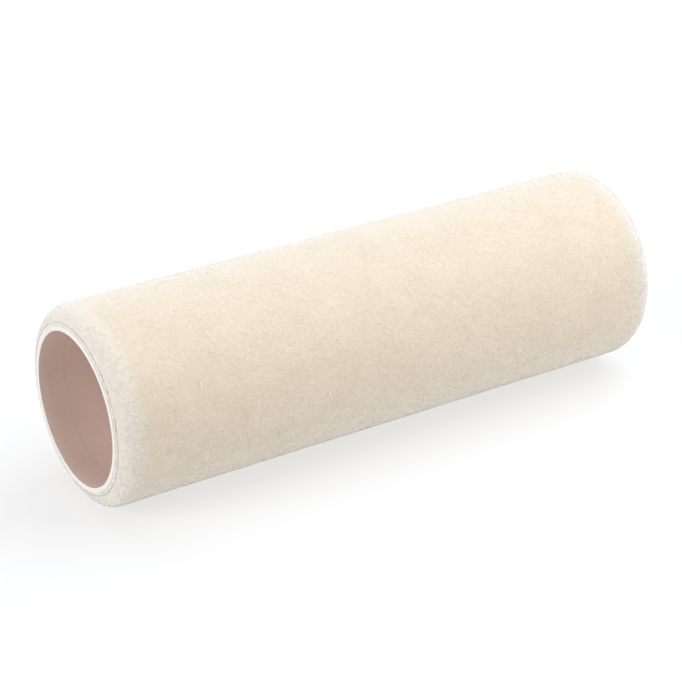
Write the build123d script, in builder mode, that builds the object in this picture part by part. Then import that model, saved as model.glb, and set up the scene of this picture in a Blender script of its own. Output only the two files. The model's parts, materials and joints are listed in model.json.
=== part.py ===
from build123d import *
import math
import os

# Paint roller cover: a spirally wound paper core under a short pile fabric sleeve.
# Origin at the middle of the bore, +X along the bore, +Z up. Millimetres and degrees.

# Driving dimensions
core_length = 180.0
bore_diameter = 44.5
ply_thickness = 0.45
adhesive_thickness = 0.2
backing_thickness = 0.6
bond_film = 0.02  # the outermost part of every layer's thickness, left clear of its neighbour
cover_diameter = 57.8

trim_inset = 0.35  # how far the fabric is trimmed back from each end of the core
bevel_length = 4.85  # how far the rounded edge of the nap reaches along the cover

# The plies and the fabric are strips wound on one mandrel, so they all advance by the same
# pitch, and each strip meets its own edge in a left-handed helical butt seam. Resin fills the
# inner ply's seam flush with the bore, so that ply is a closed tube.
winding_pitch = 82.5
ply_gap = 0.25
fabric_gap = 0.4

# Where each open seam crosses the top line of the cover (the line facing +Z), along X
fabric_seam_x = 2.25
middle_ply_seam_x = 25.0
outer_ply_seam_x = 60.0

# Radii, from the bore outwards
bore_radius = bore_diameter / 2
inner_ply_radius = bore_radius + ply_thickness
middle_ply_radius = inner_ply_radius + ply_thickness
core_radius = middle_ply_radius + ply_thickness
adhesive_radius = core_radius + adhesive_thickness
backing_radius = adhesive_radius + backing_thickness
cover_radius = cover_diameter / 2

fabric_length = core_length - 2 * trim_inset
winding_overrun = 6.0  # how far past each end a strip is wound before it is trimmed


def wind_strip(inner_radius, outer_radius, gap, seam_x, length):
    """One strip wound into a tube of this length, with its gap crossing the top line at seam_x."""
    thickness = outer_radius - inner_radius - bond_film
    middle_radius = inner_radius + thickness / 2
    circumference = 2 * math.pi * middle_radius
    gap_along_axis = gap * math.hypot(winding_pitch, circumference) / circumference
    middle_x = seam_x + winding_pitch / 2
    end_x = length / 2 + winding_pitch / 2 + winding_overrun
    turns_before = math.ceil((end_x + middle_x) / winding_pitch)
    start_x = middle_x - turns_before * winding_pitch
    with BuildLine():
        winding = Helix(
            winding_pitch, end_x - start_x, middle_radius, (start_x, 0, 0), (1, 0, 0), lefthand=True
        )
    with BuildSketch(Plane(origin=winding @ 0, x_dir=(1, 0, 0), z_dir=(0, 1, 0))) as section:
        Rectangle(winding_pitch - gap_along_axis, thickness)
    sweep(section.sketch, path=winding, is_frenet=True)
    split(bisect_by=Plane.YZ.offset(-length / 2), keep=Keep.TOP)
    split(bisect_by=Plane.YZ.offset(length / 2), keep=Keep.BOTTOM)


def close_tube(inner_radius, outer_radius, length):
    """A layer with no open seam: a plain tube of this length."""
    thickness = outer_radius - inner_radius - bond_film
    with BuildSketch(Plane.XZ) as section:
        with Locations((0, inner_radius + thickness / 2)):
            Rectangle(length, thickness)
    revolve(section.sketch, axis=Axis.X)


os.makedirs("parts", exist_ok=True)

# Core: three plies of resin-treated paper strip, their seams staggered
with BuildPart() as core_inner_ply:
    close_tube(bore_radius, inner_ply_radius, core_length)

with BuildPart() as core_middle_ply:
    wind_strip(inner_ply_radius, middle_ply_radius, ply_gap, middle_ply_seam_x, core_length)

with BuildPart() as core_outer_ply:
    wind_strip(middle_ply_radius, core_radius, ply_gap, outer_ply_seam_x, core_length)

# Adhesive that bonds the fabric to the core
with BuildPart() as adhesive_layer:
    close_tube(core_radius, adhesive_radius, fabric_length)

# Woven ground of the pile fabric, one strip wound edge to edge
with BuildPart() as fabric_backing:
    wind_strip(adhesive_radius, backing_radius, fabric_gap, fabric_seam_x, fabric_length)

# Nap: the pile's outer shape. Each end is rounded by a quarter ellipse that springs from the
# core's outer wall, so the pile's own stretch of it starts a little way up the curve.
bevel_height = cover_radius - core_radius
pile_start_angle = math.degrees(math.asin((backing_radius - core_radius) / bevel_height))
pile_arc = 90 - pile_start_angle
bevel_x = fabric_length / 2 - bevel_length
with BuildPart() as nap_pile:
    with BuildSketch(Plane.XZ):
        with BuildLine():
            right_edge = EllipticalCenterArc(
                (bevel_x, core_radius), bevel_length, bevel_height, pile_start_angle, arc_size=pile_arc
            )
            left_edge = EllipticalCenterArc(
                (-bevel_x, core_radius), bevel_length, bevel_height, 90, arc_size=pile_arc
            )
            Line(right_edge @ 1, left_edge @ 0)
            Line(left_edge @ 1, right_edge @ 0)
        make_face()
    revolve(axis=Axis.X)

finished_parts = {
    "core_inner_ply": core_inner_ply,
    "core_middle_ply": core_middle_ply,
    "core_outer_ply": core_outer_ply,
    "adhesive_layer": adhesive_layer,
    "fabric_backing": fabric_backing,
    "nap_pile": nap_pile,
}
for name, finished in finished_parts.items():
    finished.part.label = name
    export_step(finished.part, f"parts/{name}.step")
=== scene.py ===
"""Looks of a paint roller cover: a short pile fabric sleeve on a spirally wound paper core."""

import json
import math

import bpy
import numpy as np
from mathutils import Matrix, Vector


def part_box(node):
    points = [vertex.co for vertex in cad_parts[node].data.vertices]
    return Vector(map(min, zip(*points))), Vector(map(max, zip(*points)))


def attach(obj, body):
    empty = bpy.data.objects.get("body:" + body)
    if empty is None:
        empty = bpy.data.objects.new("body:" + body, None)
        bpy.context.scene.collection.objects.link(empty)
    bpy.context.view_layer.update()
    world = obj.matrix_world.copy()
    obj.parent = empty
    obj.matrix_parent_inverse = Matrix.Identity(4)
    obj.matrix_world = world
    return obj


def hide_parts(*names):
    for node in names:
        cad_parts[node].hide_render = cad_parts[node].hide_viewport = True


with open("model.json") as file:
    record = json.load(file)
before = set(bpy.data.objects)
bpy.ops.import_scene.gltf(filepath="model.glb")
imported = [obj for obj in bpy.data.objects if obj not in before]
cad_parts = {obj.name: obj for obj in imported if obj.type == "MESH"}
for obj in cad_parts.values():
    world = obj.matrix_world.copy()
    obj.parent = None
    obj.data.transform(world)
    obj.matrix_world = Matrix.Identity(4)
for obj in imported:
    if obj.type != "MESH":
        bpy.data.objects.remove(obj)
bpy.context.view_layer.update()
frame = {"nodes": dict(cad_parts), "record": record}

MM = 0.001
TURN = 2 * math.pi

# ---------------------------------------------------------------- sizes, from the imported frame


def outer_radius(node):
    """Outer radius of a round node, from its box."""
    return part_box(node)[1][2]


def half_length(node):
    """Half of a node's length along the bore."""
    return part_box(node)[1][0]


bore = next(m for m in frame["record"]["mounts"] if m["name"] == "core_bore")
BORE_R = bore["dims"]["r_mm"] * MM
INNER_PLY_R = outer_radius("core_inner_ply")
MIDDLE_PLY_R = outer_radius("core_middle_ply")
CORE_R = outer_radius("core_outer_ply")
ADHESIVE_R = outer_radius("adhesive_layer")
CLOTH_R = outer_radius("fabric_backing")
COVER_R = outer_radius("nap_pile")
CORE_HALF = half_length("core_inner_ply")
CLOTH_HALF = half_length("fabric_backing")

BEVEL_LENGTH = 4.85 * MM  # axial reach of the rounded nap edge, as in the CAD
BEVEL_HEIGHT = COVER_R - CORE_R  # its ellipse is as deep as the fabric and the glue

# The slanted cut that rounds the nap at each end looks whiter than the body
CUT_EDGE_X = CLOTH_HALF - 5.7 * MM  # where the white cut is half way in
CUT_EDGE_BLEND = 4.5 * MM  # over what length it sets in
CUT_EDGE_RAGGED = 2.0 * MM  # how far its border wanders

# The strips' common pitch, and where the fabric's seam crosses the top line of the cover
PITCH = 82.5 * MM
FABRIC_SEAM_X = 2.25 * MM
SEAM_SLOPE = math.hypot(PITCH, TURN * CLOTH_R) / (TURN * CLOTH_R)  # distance along x for each unit across
SEAM_SHADE_HALF_WIDTH = 1.1 * MM  # how far the painted shade along the seam reaches each way

# Marks in the bore: a broken line at one depth, and painted shade that darkens a stretch at both mouths
SCUFF_X = -CORE_HALF + 8 * MM
SCUFF_HALF_WIDTH = 0.9 * MM
MOUTH_SHADE_DEPTH = 16 * MM

rng = np.random.default_rng(20261118)


# ---------------------------------------------------------------- mesh tools


def mesh_object(name, points, faces, materials, slots=None):
    """A piece from points and equal-sided faces, riding on the one body."""
    faces = np.asarray(faces, np.int32)
    mesh = bpy.data.meshes.new(name)
    mesh.vertices.add(len(points))
    mesh.vertices.foreach_set("co", np.asarray(points, np.float32).ravel())
    mesh.loops.add(faces.size)
    mesh.loops.foreach_set("vertex_index", faces.ravel())
    mesh.polygons.add(len(faces))
    starts = np.arange(0, faces.size, faces.shape[1], dtype=np.int32)
    mesh.polygons.foreach_set("loop_start", starts)
    if slots is not None:
        mesh.polygons.foreach_set("material_index", np.asarray(slots, np.int32))
    mesh.polygons.foreach_set("use_smooth", np.ones(len(faces), bool))
    mesh.update(calc_edges=True)
    for material in materials:
        mesh.materials.append(material)
    piece = bpy.data.objects.new(name, mesh)
    bpy.context.scene.collection.objects.link(piece)
    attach(piece, "root")
    return piece


def around(x, radius, angle):
    """Point on the cover: x along the bore, angle from the top line towards the front."""
    return np.stack([x, -radius * np.sin(angle), radius * np.cos(angle)], -1)


def ring_faces(rows, columns):
    """Quads over a grid of rows by columns that closes round the axis, and round its section."""
    i = np.arange(rows)[:, None]
    j = np.arange(columns)[None, :]
    up, on = (i + 1) % rows, (j + 1) % columns
    corners = [i * columns + j, up * columns + j, up * columns + on, i * columns + on]
    return np.stack(np.broadcast_arrays(*corners), -1).reshape(-1, 4)


def smooth_noise(rows, columns, row_step, column_step, smallest, largest):
    """Noise on a grid that wraps both ways, holding only wavelengths in a range, with unit spread."""
    spectrum = np.fft.rfft2(rng.standard_normal((rows, columns)))
    fy = np.fft.fftfreq(rows, row_step)[:, None]
    fx = np.fft.rfftfreq(columns, column_step)[None, :]
    f = np.hypot(fx, fy)
    band = np.exp(-((f * smallest) ** 2)) - np.exp(-((f * largest) ** 2))
    noise = np.fft.irfft2(spectrum * band, s=(rows, columns))
    return noise / noise.std()


def bell(distance, width):
    """1 at no distance, falling smoothly to 0 over about twice the width."""
    return np.exp(-((distance / width) ** 2))


def seam_distance(x, angle):
    """How far points on the cover lie from the fabric's left-handed helical seam, across it."""
    along = (x - FABRIC_SEAM_X + PITCH * angle / TURN + PITCH / 2) % PITCH - PITCH / 2
    return np.abs(along) / SEAM_SLOPE


# ---------------------------------------------------------------- material tools


def rgb(r, g, b):
    """An opaque colour, as sockets take it."""
    return (r, g, b, 1.0)


def node_material(name):
    """A material with its Principled shader, its tree and a function that adds linked nodes."""
    material = bpy.data.materials.new(name)
    material.use_nodes = True
    tree = material.node_tree
    shader = tree.nodes["Principled BSDF"]

    def add(kind, links=None, **settings):
        node = tree.nodes.new(kind)
        for key, value in settings.items():
            setattr(node, key, value)
        for socket, source in (links or {}).items():
            if isinstance(source, bpy.types.NodeSocket):
                tree.links.new(source, node.inputs[socket])
            else:
                node.inputs[socket].default_value = source
        return node

    return material, shader, tree, add


def math_node(add, operation, *values):
    """The result of one sum on sockets or numbers."""
    return add("ShaderNodeMath", dict(enumerate(values)), operation=operation).outputs[0]


def map_range(add, links, **settings):
    """A value carried from one range to another, and held inside it."""
    return add("ShaderNodeMapRange", links, **settings).outputs["Result"]


def mottle(add, factor, dark, light):
    """Dark while the factor is under a half, then turning to light as it nears one."""
    node = add("ShaderNodeValToRGB", {"Fac": factor})
    for element, position, colour in zip(node.color_ramp.elements, (0.5, 1.0), (dark, light)):
        element.position = position
        element.color = rgb(*colour)
    return node.outputs["Color"]


def blend(add, factor, first, second, kind="MIX"):
    """Colour between two, by a factor."""
    mix = add("ShaderNodeMix", {0: factor, 6: first, 7: second}, data_type="RGBA", blend_type=kind)
    return mix.outputs[2]


def distance_along(add, place, middle=0.0):
    """How far a place lies from one depth along the bore."""
    x = add("ShaderNodeSeparateXYZ", {"Vector": place}).outputs["X"]
    return math_node(add, "ABSOLUTE", math_node(add, "SUBTRACT", x, middle))


def seam_shade_mask(add, place):
    """1 on the fabric's helical seam, falling to 0 at half its width: where painted shade darkens the
    groove of the parted pile.
    """
    axes = add("ShaderNodeSeparateXYZ", {"Vector": place}).outputs
    back = math_node(add, "MULTIPLY", axes["Y"], -1.0)
    angle = math_node(add, "ARCTAN2", back, axes["Z"])
    travel = math_node(add, "MULTIPLY_ADD", angle, PITCH / TURN, axes["X"])
    # Two whole pitches keep the sum above zero, and the half one puts the seam mid-way
    shifted = math_node(add, "ADD", travel, 2.5 * PITCH - FABRIC_SEAM_X)
    turns = math_node(add, "FLOORED_MODULO", shifted, PITCH)
    away = math_node(add, "ABSOLUTE", math_node(add, "SUBTRACT", turns, PITCH / 2))
    reach = SEAM_SHADE_HALF_WIDTH * SEAM_SLOPE
    ends = {"Value": away, "From Max": reach, "To Min": 1.0, "To Max": 0.0}
    return map_range(add, ends, interpolation_type="SMOOTHSTEP")


def cut_edge_mask(add, place, noise):
    """1 on the slanted cut at each end, 0 on the body, with a ragged border."""
    reach = distance_along(add, place)
    ragged = math_node(add, "MULTIPLY_ADD", noise, CUT_EDGE_RAGGED, reach)
    start = CUT_EDGE_X + CUT_EDGE_RAGGED / 2 - CUT_EDGE_BLEND / 2
    return map_range(add, {"Value": ragged, "From Min": start, "From Max": start + CUT_EDGE_BLEND})


def scuff_mask(add, place, noise):
    """A faint broken line round the bore at the scuff's depth, up to 1."""
    away = distance_along(add, place, SCUFF_X)
    line = map_range(add, {"Value": away, "From Max": SCUFF_HALF_WIDTH, "To Min": 1.0, "To Max": 0.0})
    # The line shows only where the paper's own noise runs high
    broken = map_range(add, {"Value": noise, "From Min": 0.45, "From Max": 0.6})
    return math_node(add, "MULTIPLY", line, broken)


def mouth_shade_mask(add, place):
    """1 at the mouths of the bore, 0 deep inside: where painted shade draws the bore darker near its
    mouths than deep in.
    """
    reach = distance_along(add, place)
    start = CORE_HALF - MOUTH_SHADE_DEPTH
    return map_range(add, {"Value": reach, "From Min": start, "From Max": CORE_HALF})


# ---------------------------------------------------------------- materials

# The Scale of a noise node is roughly how many blotches it has in a metre

# The pile's own cream and its mottle, set darker and more saturated than the fibre ends: painted shade
# and inter-reflection deep in the pile
PILE_DARK, PILE_LIGHT = (0.69, 0.59, 0.45), (0.735, 0.635, 0.495)
CUT_DARK, CUT_LIGHT = (0.67, 0.605, 0.52), (0.84, 0.775, 0.685)
# Painted shade in the groove where the pile parts along the seam
SEAM_SHADE_TINT = (0.92, 0.915, 0.885)
SCUFF_TINT = (0.9, 0.89, 0.89)
# Painted shade: the bore is drawn darker near both mouths than deep inside
MOUTH_SHADE_TINT = (0.82, 0.79, 0.76)


def pile_body_material():
    """Dense cream pile seen between the fibre ends: mottled, with a paler cut edge at each end, and drawn
    darker and more saturated than the fibre ends as painted shade and inter-reflection deep in the pile.
    """
    material, shader, tree, add = node_material("cream pile")
    place = add("ShaderNodeTexCoord").outputs["Object"]
    fine = add("ShaderNodeTexNoise", {"Vector": place, "Scale": 1700.0, "Detail": 3.0}).outputs["Fac"]
    broad = add("ShaderNodeTexNoise", {"Vector": place, "Scale": 90.0, "Detail": 4.0}).outputs["Fac"]
    mixed = math_node(add, "MULTIPLY_ADD", fine, 0.6, broad)
    body = mottle(add, mixed, PILE_DARK, PILE_LIGHT)
    pale = blend(add, fine, rgb(*CUT_DARK), rgb(*CUT_LIGHT))
    colour = blend(add, cut_edge_mask(add, place, fine), body, pale)
    # Painted shade along the seam's groove, broken up by the broad noise
    seam = math_node(add, "MULTIPLY", seam_shade_mask(add, place), broad)
    colour = blend(add, seam, colour, rgb(*SEAM_SHADE_TINT), "MULTIPLY")
    tree.links.new(colour, shader.inputs["Base Color"])
    bump = add("ShaderNodeBump", {"Height": fine, "Strength": 0.5, "Distance": 0.2 * MM})
    tree.links.new(bump.outputs["Normal"], shader.inputs["Normal"])
    shader.inputs["Roughness"].default_value = 0.95
    shader.inputs["Sheen Weight"].default_value = 1.0
    shader.inputs["Sheen Roughness"].default_value = 0.45
    return material


def tuft_material(name, colour):
    """One shade of the pile's fibre ends, with a fine grain of single fibres as relief."""
    material, shader, tree, add = node_material(name)
    place = add("ShaderNodeTexCoord").outputs["Object"]
    fibres = add("ShaderNodeTexNoise", {"Vector": place, "Scale": 6000.0, "Detail": 2.0})
    relief = add("ShaderNodeDisplacement", {"Height": fibres.outputs["Fac"], "Scale": 0.03 * MM})
    tree.links.new(relief.outputs[0], tree.nodes["Material Output"].inputs["Displacement"])
    shader.inputs["Base Color"].default_value = rgb(*colour)
    shader.inputs["Roughness"].default_value = 0.9
    shader.inputs["Specular IOR Level"].default_value = 0.2
    shader.inputs["Sheen Weight"].default_value = 1.0
    shader.inputs["Sheen Roughness"].default_value = 0.5
    return material


def paper_material(name, light, dark, grain, in_bore=False):
    """Matte fibrous stuff: blotches stretched along the wall, a faint tooth, and in the bore a scuff line
    and painted shade at both mouths.
    """
    material, shader, tree, add = node_material(name)
    place = add("ShaderNodeTexCoord").outputs["Object"]
    stretch = add("ShaderNodeMapping", {"Vector": place, "Scale": (0.4, 1.0, 1.0)}).outputs[0]
    fibres = add("ShaderNodeTexNoise", {"Vector": stretch, "Scale": grain, "Detail": 6.0}).outputs["Fac"]
    clouds = add("ShaderNodeTexNoise", {"Vector": place, "Scale": 60.0, "Detail": 3.0}).outputs["Fac"]
    mixed = math_node(add, "MULTIPLY_ADD", fibres, 0.5, clouds)
    colour = mottle(add, mixed, dark, light)
    if in_bore:
        colour = blend(add, scuff_mask(add, place, fibres), colour, rgb(*SCUFF_TINT), "MULTIPLY")
        # Painted shade, darker near both mouths of the bore
        colour = blend(add, mouth_shade_mask(add, place), colour, rgb(*MOUTH_SHADE_TINT), "MULTIPLY")
    tree.links.new(colour, shader.inputs["Base Color"])
    bump = add("ShaderNodeBump", {"Height": fibres, "Strength": 0.25, "Distance": 0.1 * MM})
    tree.links.new(bump.outputs["Normal"], shader.inputs["Normal"])
    shader.inputs["Roughness"].default_value = 0.8
    return material


# ---------------------------------------------------------------- the nap's body

SHELL_SINK = 0.14 * MM  # how far the dense body of the pile lies under its outline
SINK_REACH = 1.5 * MM  # how far in from the nap's two edges it takes to sink
SHELL_COLUMNS = 300
SHELL_ROWS = 326
SHELL_INNER_ROWS = 6
INNER_INSET = 0.3 * MM  # how far the shell's inner wall stops short of the edges

# The relief on the body: heights and depths, and the widths that go with them
FINE_HEIGHT, PATCH_HEIGHT = 0.02 * MM, 0.02 * MM
CUT_ROUGHENING = 1.8  # how much more the fine relief stands out on the slanted cut
GROOVE_DEPTH, GROOVE_WIDTH = 0.08 * MM, 0.7 * MM  # along the fabric's seam
GAP_DEPTH, GAP_REACH = 0.1 * MM, 0.5 * MM  # between the first yarns, round each end
GAP_EVERY = 3  # columns of the shell from one such gap to the next
DIMPLE_DEPTH, DIMPLE_WIDTH = 0.35 * MM, 0.6 * MM  # a small pressed mark
DIMPLE_X, DIMPLE_ANGLE = -74.1 * MM, math.radians(76)


def nap_outline(count):
    """The nap's outer section from end to end: x, radius, outward normal, and distance along it."""
    centre = CLOTH_HALF - BEVEL_LENGTH
    start = math.asin((CLOTH_R - CORE_R) / BEVEL_HEIGHT)
    phi = np.linspace(start, math.pi / 2, 400)
    bevel_x = centre + BEVEL_LENGTH * np.cos(phi)
    bevel_r = CORE_R + BEVEL_HEIGHT * np.sin(phi)
    x = np.concatenate([-bevel_x, bevel_x[::-1]])
    r = np.concatenate([bevel_r, bevel_r[::-1]])
    length = np.concatenate([[0], np.cumsum(np.hypot(np.diff(x), np.diff(r)))])
    at = np.linspace(0, length[-1], count)
    x, r = np.interp(at, length, x), np.interp(at, length, r)
    dx, dr = np.gradient(x), np.gradient(r)
    size = np.hypot(dx, dr)
    return x, r, -dr / size, dx / size, at


def cut_share(x):
    """How far a place belongs to the slanted cut at the ends: 0 on the body, 1 on the cut."""
    return np.clip((np.abs(x) - CUT_EDGE_X) / CUT_EDGE_BLEND + 0.5, 0, 1)


outline_x, outline_r, outline_nx, outline_nr, outline_at = nap_outline(SHELL_ROWS)
OUTLINE_LENGTH = outline_at[-1]
shell_angle = np.arange(SHELL_COLUMNS) * TURN / SHELL_COLUMNS
shell_steps = (outline_at[1] - outline_at[0], TURN * COVER_R / SHELL_COLUMNS)
grid_x, grid_angle = np.meshgrid(outline_x, shell_angle, indexing="ij")


def shell_noise(smallest, largest):
    """Smooth noise on the shell's grid, of wavelengths in a range."""
    return smooth_noise(SHELL_ROWS, SHELL_COLUMNS, *shell_steps, smallest, largest)


def nap_relief():
    """Height of the dense pile's surface over the outline, on the shell's grid."""
    fine = shell_noise(1.2 * MM, 3 * MM) * (1 + CUT_ROUGHENING * cut_share(grid_x))
    patch = shell_noise(6 * MM, 30 * MM)
    groove = bell(seam_distance(grid_x, grid_angle), GROOVE_WIDTH)
    away = np.hypot(grid_x - DIMPLE_X, COVER_R * (grid_angle - DIMPLE_ANGLE))
    dimple = bell(away, DIMPLE_WIDTH)
    from_end = np.minimum(outline_at, OUTLINE_LENGTH - outline_at)[:, None]
    is_gap = np.arange(SHELL_COLUMNS) % GAP_EVERY == 0
    yarn_gap = is_gap * rng.uniform(0.2, 1.0, SHELL_COLUMNS)
    gaps = bell(from_end, GAP_REACH) * yarn_gap[None, :]
    sunk = GROOVE_DEPTH * groove + DIMPLE_DEPTH * dimple + GAP_DEPTH * gaps
    sink = SHELL_SINK * np.clip(from_end / SINK_REACH, 0, 1)
    return FINE_HEIGHT * fine + PATCH_HEIGHT * patch - sunk - sink


relief = nap_relief()
lay = shell_noise(5 * MM, 30 * MM)  # how the pile's lay drifts
tone = shell_noise(4 * MM, 25 * MM)  # how its shade drifts


def build_nap_body():
    """Closed shell of the pile: displaced outer surface, plain inner wall on the ground cloth."""
    outer_x = grid_x + outline_nx[:, None] * relief
    outer_radii = outline_r[:, None] + outline_nr[:, None] * relief
    outer = around(outer_x, outer_radii, grid_angle)
    inner_line = np.linspace(outline_x[-1] - INNER_INSET, outline_x[0] + INNER_INSET, SHELL_INNER_ROWS)
    inner_x, inner_angle = np.meshgrid(inner_line, shell_angle, indexing="ij")
    inner = around(inner_x, np.full_like(inner_x, CLOTH_R), inner_angle)
    points = np.concatenate([outer.reshape(-1, 3), inner.reshape(-1, 3)])
    faces = ring_faces(SHELL_ROWS + SHELL_INNER_ROWS, SHELL_COLUMNS)
    piece = mesh_object("nap_body", points, faces, [pile_body_material()])
    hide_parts("nap_pile")


# ---------------------------------------------------------------- the nap's fibre ends

TUFT_DENSITY = 5.9  # fibre ends for each mm2 of the cover
TUFT_ROOT = 0.35 * MM  # how deep each one starts under the body's surface
TUFT_OUT = (0.0, 0.11 * MM)  # about how far past the nap's outline their tips reach, least and most
TUFT_PARTING = (0.08 * MM, 0.4 * MM)  # how much shorter they are along the seam, and how widely
TUFT_WIDTH = (0.3 * MM, 0.46 * MM)
CUT_WIDENING = 0.3  # how much wider they are on the slanted cut, as a share
LAY_ROUND = 0.1  # how they lean round the cover
LAY_DRIFT = 0.06  # how much that changes from place to place
LAY_ALONG = -0.05  # how they lean along it
LAY_SPREAD = 0.11  # how much each one strays from the others
BODY_SHARES = (0.35, 0.75)  # where the body's light shade ends and its deep one begins
CUT_SHARE = 0.6  # where the deep shade of the slanted cut begins
SHADE_DRIFT = 0.12  # how much the shades gather in patches
END_ARC = 11 * MM  # length of the nap's outline in each end piece
MIDDLE_BANDS = 4

FUZZ_DENSITY = 9  # loose fibres for each mm2 of the fabric's trimmed edge
FUZZ_MARGIN = 0.4 * MM  # how far up the nap they stray
FUZZ_ROOT = 0.1 * MM  # how deep they start under the edge
FUZZ_LEAN = (-0.2, 1.2)  # how they lean, from inwards to outwards
FUZZ_SPREAD = 0.35  # how much each one strays from the others
FUZZ_LENGTH = (0.35 * MM, 0.6 * MM)
FUZZ_WIDTH = (0.16 * MM, 0.26 * MM)


def spikes(name, root, direction, length, width, materials, shade):
    """A piece of many slim closed pyramids, one for each root point."""
    count = len(root)
    direction = direction / np.linalg.norm(direction, axis=1)[:, None]
    side = np.cross(direction, rng.normal(size=(count, 3)))
    side /= np.linalg.norm(side, axis=1)[:, None]
    front = np.cross(side, direction)
    corners = []
    for k in range(3):
        spoke = math.cos(k * TURN / 3) * side + math.sin(k * TURN / 3) * front
        corners.append(root + width[:, None] / 2 * spoke)
    tip = root + direction * length[:, None]
    points = np.stack(corners + [tip], 1).reshape(-1, 3)
    first = np.arange(count)[:, None] * 4
    triangles = [first + [0, 1, 3], first + [1, 2, 3], first + [2, 0, 3], first + [0, 2, 1]]
    faces = np.concatenate(triangles, 1).reshape(-1, 3)
    piece = mesh_object(name, points, faces, materials, np.repeat(shade, 4))


def scatter_on_nap(low, high):
    """Random places over one stretch of the nap's outline, even over its area."""
    widest = TURN * COVER_R * (high - low)
    at = rng.uniform(low, high, int(widest / MM**2 * TUFT_DENSITY))
    at = at[rng.random(len(at)) < np.interp(at, outline_at, outline_r) / COVER_R]
    return at, rng.uniform(0, TURN, len(at))


def build_tufts(name, low, high, materials):
    """Fibre ends over one stretch of the nap's outline, leaning with the lay of the pile."""
    at, angle = scatter_on_nap(low, high)
    count = len(at)
    x, r = np.interp(at, outline_at, outline_x), np.interp(at, outline_at, outline_r)
    nx, nr = np.interp(at, outline_at, outline_nx), np.interp(at, outline_at, outline_nr)
    row = np.clip((at / OUTLINE_LENGTH * (SHELL_ROWS - 1)).round().astype(int), 0, SHELL_ROWS - 1)
    column = (angle / TURN * SHELL_COLUMNS).round().astype(int) % SHELL_COLUMNS

    # Directions at each root: from the axis, out of the surface, round the axis, and along the outline
    axial = np.array([1.0, 0, 0])
    radial = around(np.zeros(count), np.ones(count), angle)
    normal = nx[:, None] * axial + nr[:, None] * radial
    round_axis = np.stack([np.zeros(count), -np.cos(angle), -np.sin(angle)], -1)
    along = nr[:, None] * axial - nx[:, None] * radial
    # On the slanted cut, fibres point midway between straight out from the axis and out of the surface
    swirl = LAY_ROUND + LAY_DRIFT * lay[row, column][:, None]
    direction = 0.5 * normal + 0.5 * radial + swirl * round_axis + LAY_ALONG * axial
    direction += rng.normal(0, LAY_SPREAD, (count, 1)) * round_axis
    direction += rng.normal(0, LAY_SPREAD, (count, 1)) * along
    direction /= np.linalg.norm(direction, axis=1)[:, None]

    root = around(x, r, angle) + normal * relief[row, column][:, None] - direction * TUFT_ROOT
    shorter, parting = TUFT_PARTING
    reach = rng.uniform(*TUFT_OUT, count) - shorter * bell(seam_distance(x, angle), parting)
    pick = rng.random(count) + SHADE_DRIFT * tone[row, column]
    on_cut = rng.random(count) < cut_share(x)
    body_shade = np.searchsorted(BODY_SHARES, pick)
    shade = np.where(on_cut, len(BODY_SHARES) + 1 + (pick > CUT_SHARE), body_shade)
    width = rng.uniform(*TUFT_WIDTH, count) * (1 + CUT_WIDENING * on_cut)
    spikes(name, root, direction, TUFT_ROOT + SHELL_SINK + reach, width, materials, shade)


def build_edge_fuzz(name, end, material):
    """Loose fibre ends that cover the trimmed edge of the fabric. The end is -1 or 1, as x."""
    inner, outer = CORE_R, CLOTH_R + FUZZ_MARGIN
    count = int(math.pi * (outer**2 - inner**2) / MM**2 * FUZZ_DENSITY)
    r = rng.uniform(inner, outer, count)
    angle = rng.uniform(0, TURN, count)
    x = np.full(count, end * (CLOTH_HALF - FUZZ_ROOT))
    radial = around(np.zeros(count), np.ones(count), angle)
    direction = radial * rng.uniform(*FUZZ_LEAN, (count, 1)) + rng.normal(0, FUZZ_SPREAD, (count, 3))
    direction[:, 0] = end
    length = rng.uniform(*FUZZ_LENGTH, count)
    width = rng.uniform(*FUZZ_WIDTH, count)
    shade = np.zeros(count, int)
    spikes(name, around(x, r, angle), direction, length, width, [material], shade)


def build_nap():
    """The pile's body, its fibre ends in bands along the cover, and the fuzz at both ends."""
    build_nap_body()
    body_shades = [
        tuft_material("pile end light", (0.80, 0.725, 0.62)),
        tuft_material("pile end middle", (0.785, 0.70, 0.59)),
        tuft_material("pile end deep", (0.76, 0.67, 0.555)),
    ]
    cut_shades = [
        tuft_material("cut pile light", (0.83, 0.775, 0.705)),
        tuft_material("cut pile deep", (0.73, 0.675, 0.605)),
    ]
    edge_shade = tuft_material("edge fibres", (0.90, 0.86, 0.805))
    far_arc = OUTLINE_LENGTH - END_ARC
    bands = np.linspace(END_ARC, far_arc, MIDDLE_BANDS + 1)
    build_tufts("nap_tufts_left_end", 0.0, END_ARC, body_shades + cut_shades)
    for band in range(MIDDLE_BANDS):
        build_tufts(f"nap_tufts_{band + 1}", bands[band], bands[band + 1], body_shades)
    build_tufts("nap_tufts_right_end", far_arc, OUTLINE_LENGTH, body_shades + cut_shades)
    build_edge_fuzz("edge_fuzz_left", -1, edge_shade)
    build_edge_fuzz("edge_fuzz_right", 1, edge_shade)


# ---------------------------------------------------------------- ground cloth and core

RIM = 0.12 * MM  # radius of the softened edges
RIM_WOBBLE = 0.02 * MM  # how unevenly the rims were cut
LAYER_COLUMNS = 256
WALL_ROWS = 60  # points along each of a layer's two walls


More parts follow.
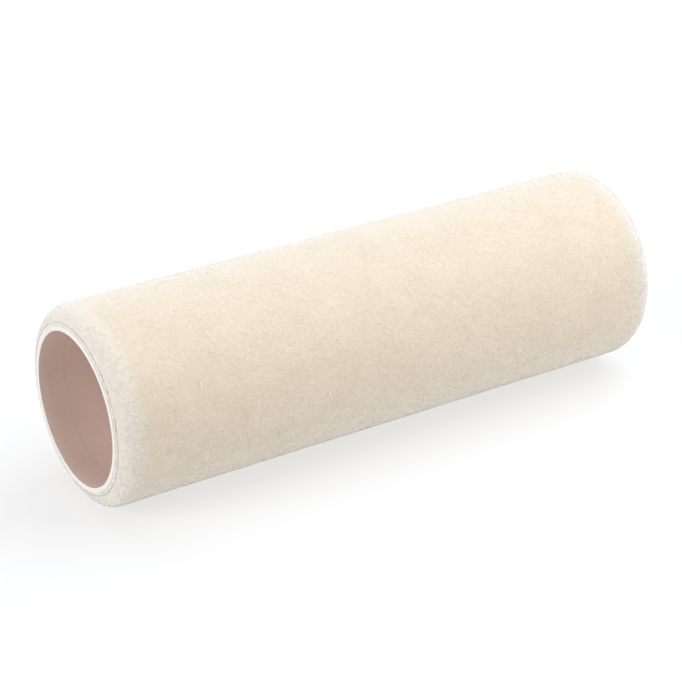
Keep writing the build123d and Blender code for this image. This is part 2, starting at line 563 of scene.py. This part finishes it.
def layer_section(inner_r, outer_r, half):
    """A layer's closed section with rounded corners, as rows of x and radius."""
    arc = np.linspace(0, math.pi / 2, 4)
    near_out = [(-half + RIM - RIM * math.sin(a), outer_r - RIM + RIM * math.cos(a)) for a in arc]
    near_in = [(-half + RIM - RIM * math.cos(a), inner_r + RIM - RIM * math.sin(a)) for a in arc]
    far_in = [(-x, r) for x, r in reversed(near_in)]
    far_out = [(-x, r) for x, r in reversed(near_out)]
    wall = np.linspace(-half + RIM, half - RIM, WALL_ROWS)[1:-1]
    inner_wall = [(x, inner_r) for x in wall]
    outer_wall = [(x, outer_r) for x in reversed(wall)]
    return np.array(near_out + near_in + inner_wall + far_in + far_out + outer_wall)


def build_layer(name, node, inner_r, outer_r, half, materials):
    """A tube with softened, slightly uneven rims. Materials: outer wall, rims, inner wall."""
    section = layer_section(inner_r, outer_r, half)
    angle = np.arange(LAYER_COLUMNS) * TURN / LAYER_COLUMNS
    x, a = np.meshgrid(section[:, 0], angle, indexing="ij")
    r = np.repeat(section[:, 1:2], LAYER_COLUMNS, 1)
    step = TURN * outer_r / LAYER_COLUMNS
    # One row of a patch of noise, since a row closes round the rim
    wobble = smooth_noise(8, LAYER_COLUMNS, step, step, 0.6 * MM, 6 * MM)[0]
    at_rim = np.abs(x) > half - 1.5 * RIM
    x = x + np.where(at_rim, np.sign(x) * RIM_WOBBLE * wobble[None, :], 0)
    points = around(x, r, a).reshape(-1, 3)
    middle = (section + np.roll(section, -1, 0)) / 2
    on_rim = np.abs(middle[:, 0]) > half - RIM
    on_inside = middle[:, 1] < (inner_r + outer_r) / 2
    slot_of_row = np.where(on_rim, 1, np.where(on_inside, 2, 0))
    faces = ring_faces(len(section), LAYER_COLUMNS)
    piece = mesh_object(name, points, faces, materials, np.repeat(slot_of_row, LAYER_COLUMNS))
    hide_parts(node)


def build_core():
    """The three wound plies: brown where the bore shows, pale where they are cut."""
    light, dark = (0.86, 0.69, 0.625), (0.80, 0.635, 0.57)
    brown = paper_material("resin-treated paper", light, dark, 900.0, in_bore=True)
    greyed = paper_material("cut paper edge greyed", (0.84, 0.80, 0.76), (0.78, 0.745, 0.70), 1500.0)
    pale = paper_material("cut paper edge", (0.85, 0.815, 0.78), (0.79, 0.755, 0.715), 1500.0)
    inner, middle, outer = [pale, pale, brown], [pale] * 3, [greyed] * 3
    build_layer("inner_ply", "core_inner_ply", BORE_R, INNER_PLY_R, CORE_HALF, inner)
    build_layer("middle_ply", "core_middle_ply", INNER_PLY_R, MIDDLE_PLY_R, CORE_HALF, middle)
    build_layer("outer_ply", "core_outer_ply", MIDDLE_PLY_R, CORE_R, CORE_HALF, outer)


def build_ground_cloth():
    """The woven ground that the pile stands on."""
    cloth = paper_material("ground cloth", (0.86, 0.83, 0.785), (0.80, 0.77, 0.725), 2200.0)
    build_layer("ground_cloth", "fabric_backing", ADHESIVE_R, CLOTH_R, CLOTH_HALF, [cloth] * 3)


def dress_adhesive():
    """The CAD's own glue layer, with a procedural material."""
    glue = paper_material("dried glue", (0.86, 0.83, 0.78), (0.80, 0.765, 0.71), 700.0)
    adhesive = frame["nodes"]["adhesive_layer"]
    adhesive.data.materials.clear()
    adhesive.data.materials.append(glue)


# ---------------------------------------------------------------- stray lint

# Where the threads lie: x, and degrees from the top line towards the front
LINT = [(-25.8 * MM, 91), (-64.8 * MM, 65), (79.5 * MM, 76)]
SPECK = [(-46.0 * MM, -5.5)]
LINT_HEADING = (0.9, 2.2)  # radians from x
LINT_BEND = (0.2, 0.45)  # as a share of the length
LINT_LIFT = 0.02 * MM
LINT_ARCH = 0.15 * MM  # how far a thread's middle rises and its ends dip


def strand(points, radius):
    """Points and triangles of a thin bent thread with pointed ends."""
    along = np.gradient(points, axis=0)
    along /= np.linalg.norm(along, axis=1)[:, None]
    side = np.cross(along, [0.3, 0.2, 0.9])  # any direction that no thread follows
    side /= np.linalg.norm(side, axis=1)[:, None]
    front = np.cross(side, along)
    sides, rings = 6, len(points) - 2
    a = np.arange(sides) * TURN / sides
    thick = radius * np.sqrt(np.sin(np.linspace(0, math.pi, rings + 2)[1:-1]))
    spokes = np.cos(a)[None, :, None] * side[1:-1, None] + np.sin(a)[None, :, None] * front[1:-1, None]
    body = points[1:-1, None] + thick[:, None, None] * spokes
    vertices = np.concatenate([points[:1], body.reshape(-1, 3), points[-1:]])
    faces = []
    last = len(vertices) - 1
    for k in range(sides):
        on = (k + 1) % sides
        faces.append((0, 1 + on, 1 + k))
        faces.append((last, last - sides + k, last - sides + on))
        for ring in range(rings - 1):
            low, high = 1 + ring * sides, 1 + (ring + 1) * sides
            faces.append((low + k, low + on, high + on))
            faces.append((low + k, high + on, high + k))
    return vertices, np.array(faces)


def build_strands(name, places, length, radius, material):
    """Short threads lying on the nap, each at an x and an angle, and bent its own way."""
    all_points, all_faces, made = [], [], 0
    for x, degrees in places:
        t = np.linspace(-0.5, 0.5, 12)
        heading = rng.uniform(*LINT_HEADING)
        bend = rng.uniform(*LINT_BEND) * (t**2 - 0.1)
        ahead, across = t * length, bend * length
        on_x = x + ahead * math.cos(heading) - across * math.sin(heading)
        round_cover = ahead * math.sin(heading) + across * math.cos(heading)
        on_angle = math.radians(degrees) + round_cover / COVER_R
        lift = COVER_R + LINT_LIFT + radius + LINT_ARCH * np.cos(2 * t * math.pi)
        points, faces = strand(around(on_x, lift, on_angle), radius)
        all_points.append(points)
        all_faces.append(faces + made)
        made += len(points)
    piece = mesh_object(name, np.concatenate(all_points), np.concatenate(all_faces), [material])


def build_lint():
    """White lint and one dark speck, caught in the nap."""
    white_lint = paper_material("white lint", (0.93, 0.92, 0.88), (0.82, 0.80, 0.75), 2500.0)
    dark_speck = paper_material("dark speck", (0.62, 0.54, 0.51), (0.50, 0.42, 0.39), 2500.0)
    build_strands("lint", LINT, 1.5 * MM, 0.16 * MM, white_lint)
    build_strands("speck", SPECK, 0.6 * MM, 0.1 * MM, dark_speck)


# ---------------------------------------------------------------- stage, light and camera

FLOOR_HALF = 6.0
FLOOR_GAP = 0.1 * MM
WORLD_LIGHT = 0.34  # the white world's strength as light; the camera sees it at 1

VIEW_AZIMUTH = math.radians(-32.53)
VIEW_ELEVATION = math.radians(27.19)
VIEW_DISTANCE = 672.4 * MM
LENS = 121.7
AIM_RIGHT, AIM_UP = 3.13 * MM, 3.35 * MM  # how far the cover's middle lies off the view's axis


def build_stage():
    """A wide, plain, pale floor under the cover, lit from below like a light table."""
    material, shader, _, _ = node_material("pale floor")
    shader.inputs["Base Color"].default_value = rgb(0.3, 0.3, 0.3)
    shader.inputs["Roughness"].default_value = 0.9
    shader.inputs["Emission Color"].default_value = rgb(1, 1, 1)
    shader.inputs["Emission Strength"].default_value = 0.6
    mesh = bpy.data.meshes.new("floor")
    z = -COVER_R - FLOOR_GAP
    corners = [(-1, -1), (1, -1), (1, 1), (-1, 1)]
    mesh.from_pydata([(x * FLOOR_HALF, y * FLOOR_HALF, z) for x, y in corners], [], [(0, 1, 2, 3)])
    mesh.materials.append(material)
    floor = bpy.data.objects.new("floor", mesh)
    bpy.context.scene.collection.objects.link(floor)


def area_light(name, place, size, power, colour=(1, 1, 1)):
    """A square soft box that faces the cover, in metres and watts."""
    light = bpy.data.lights.new(name, "AREA")
    light.size = size
    light.energy = power
    light.color = colour
    lamp = bpy.data.objects.new(name, light)
    lamp.location = place
    lamp.rotation_euler = (-Vector(place)).to_track_quat("-Z", "Y").to_euler()
    bpy.context.scene.collection.objects.link(lamp)


def build_lights():
    """Four soft boxes in a world that is white to the camera and dimmer as a light."""
    area_light("top softbox", (0.5, 0.0, 1.05), 1.7, 17.6, (0.96, 1.01, 1.09))
    area_light("end softbox", (-1.75, -0.15, 0.85), 0.9, 19.5)
    area_light("front softbox", (0.45, -0.35, 0.15), 0.4, 1.2)
    area_light("back softbox", (-0.3, 1.3, 0.5), 0.9, 3.0)
    world = bpy.data.worlds.new("studio")
    world.use_nodes = True
    tree = world.node_tree
    backdrop = tree.nodes["Background"]
    backdrop.inputs["Color"].default_value = rgb(1, 1, 1)
    seen = tree.nodes.new("ShaderNodeLightPath")
    strength = tree.nodes.new("ShaderNodeMapRange")
    strength.inputs["To Min"].default_value = WORLD_LIGHT
    tree.links.new(seen.outputs["Is Camera Ray"], strength.inputs["Value"])
    tree.links.new(strength.outputs["Result"], backdrop.inputs["Strength"])
    bpy.context.scene.world = world
    bpy.context.scene.view_settings.view_transform = "Standard"


def build_camera():
    """A long lens, looking along the cover from its left end and from above."""
    level = math.cos(VIEW_ELEVATION)
    forward_x = -math.sin(VIEW_AZIMUTH) * level
    forward_y = math.cos(VIEW_AZIMUTH) * level
    forward = Vector((forward_x, forward_y, -math.sin(VIEW_ELEVATION)))
    right = forward.cross(Vector((0, 0, 1))).normalized()
    up = right.cross(forward)
    data = bpy.data.cameras.new("camera")
    data.lens = LENS
    data.sensor_width = 36.0
    data.clip_end = 50.0
    camera = bpy.data.objects.new("camera", data)
    camera.location = -right * AIM_RIGHT - up * AIM_UP - forward * VIEW_DISTANCE
    camera.rotation_euler = forward.to_track_quat("-Z", "Y").to_euler()
    bpy.context.scene.collection.objects.link(camera)
    bpy.context.scene.camera = camera


build_nap()
build_core()
build_ground_cloth()
dress_adhesive()
build_lint()
build_stage()
build_lights()
build_camera()
